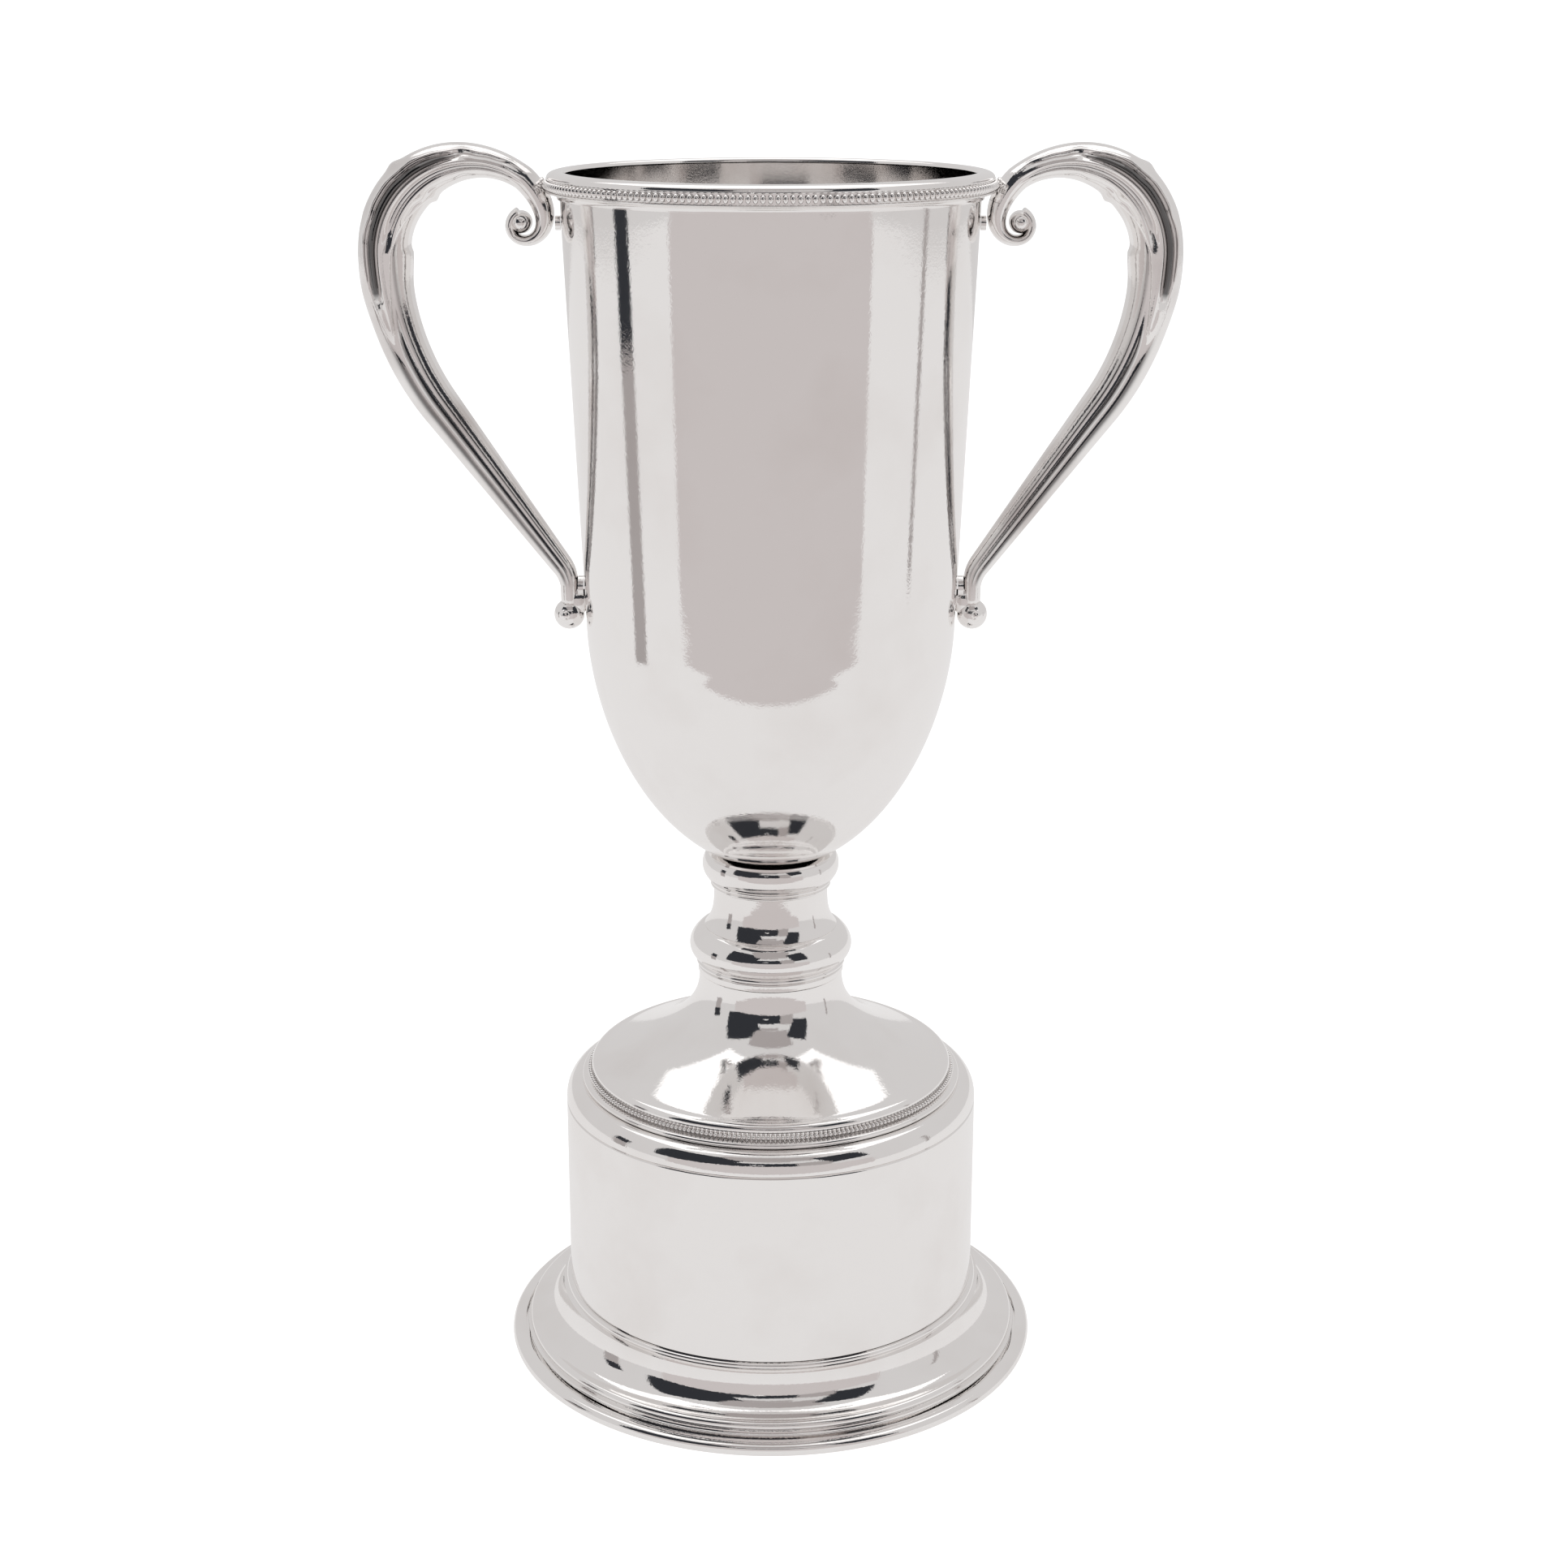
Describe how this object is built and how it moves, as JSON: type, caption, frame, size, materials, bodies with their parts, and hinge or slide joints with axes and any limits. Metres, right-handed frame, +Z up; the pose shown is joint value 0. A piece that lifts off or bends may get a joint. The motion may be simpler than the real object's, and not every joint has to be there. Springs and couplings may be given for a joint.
{
  "type": "cup trophy",
  "caption": "Tall two-handled silver presentation cup with beaded rim and scroll handles, on a knopped stem, domed foot and round moulded plinth.",
  "frame": {"origin": "centre of the face the plinth rests on", "axes": "+Z up along the axis of the cup, handles along +X and -X, +Y towards the back"},
  "size_m": [0.2972, 0.2092, 0.4691],
  "materials": {
    "silver": "mirror-polished silver plate",
    "silver_beads": "mirror-polished silver plate",
    "silver_cast": "mirror-polished silver plate",
    "steel": "zinc-plated fixings",
    "base_wood": "sealed hardboard",
    "core_wood": "turned block, unseen",
    "felt": "dark green felt"
  },
  "bodies": {
    "root": {"felt_pad": "felt", "base_plate": "base_wood", "base_screws": "steel", "edge_ring": "silver", "base_moulding": "silver", "plinth_core": "core_wood", "plinth_band": "silver", "plinth_lid": "silver", "foot_base_ring": "silver", "foot_bead_band": "silver_beads", "foot_dome": "silver", "stem_pedestal": "silver", "knop": "silver", "stem_neck": "silver", "bowl_collar": "silver", "cup_bowl": "silver", "rim_moulding": "silver", "rim_bead_band": "silver_beads", "handle_left": "silver_cast", "handle_right": "silver_cast", "handle_lug_left": "silver_cast", "handle_lug_right": "silver_cast", "handle_ear_left": "silver_cast", "handle_ear_right": "silver_cast", "tie_rod": "steel", "tie_rod_nuts": "steel", "tie_rod_washers": "steel"}
  },
  "joints": []
}
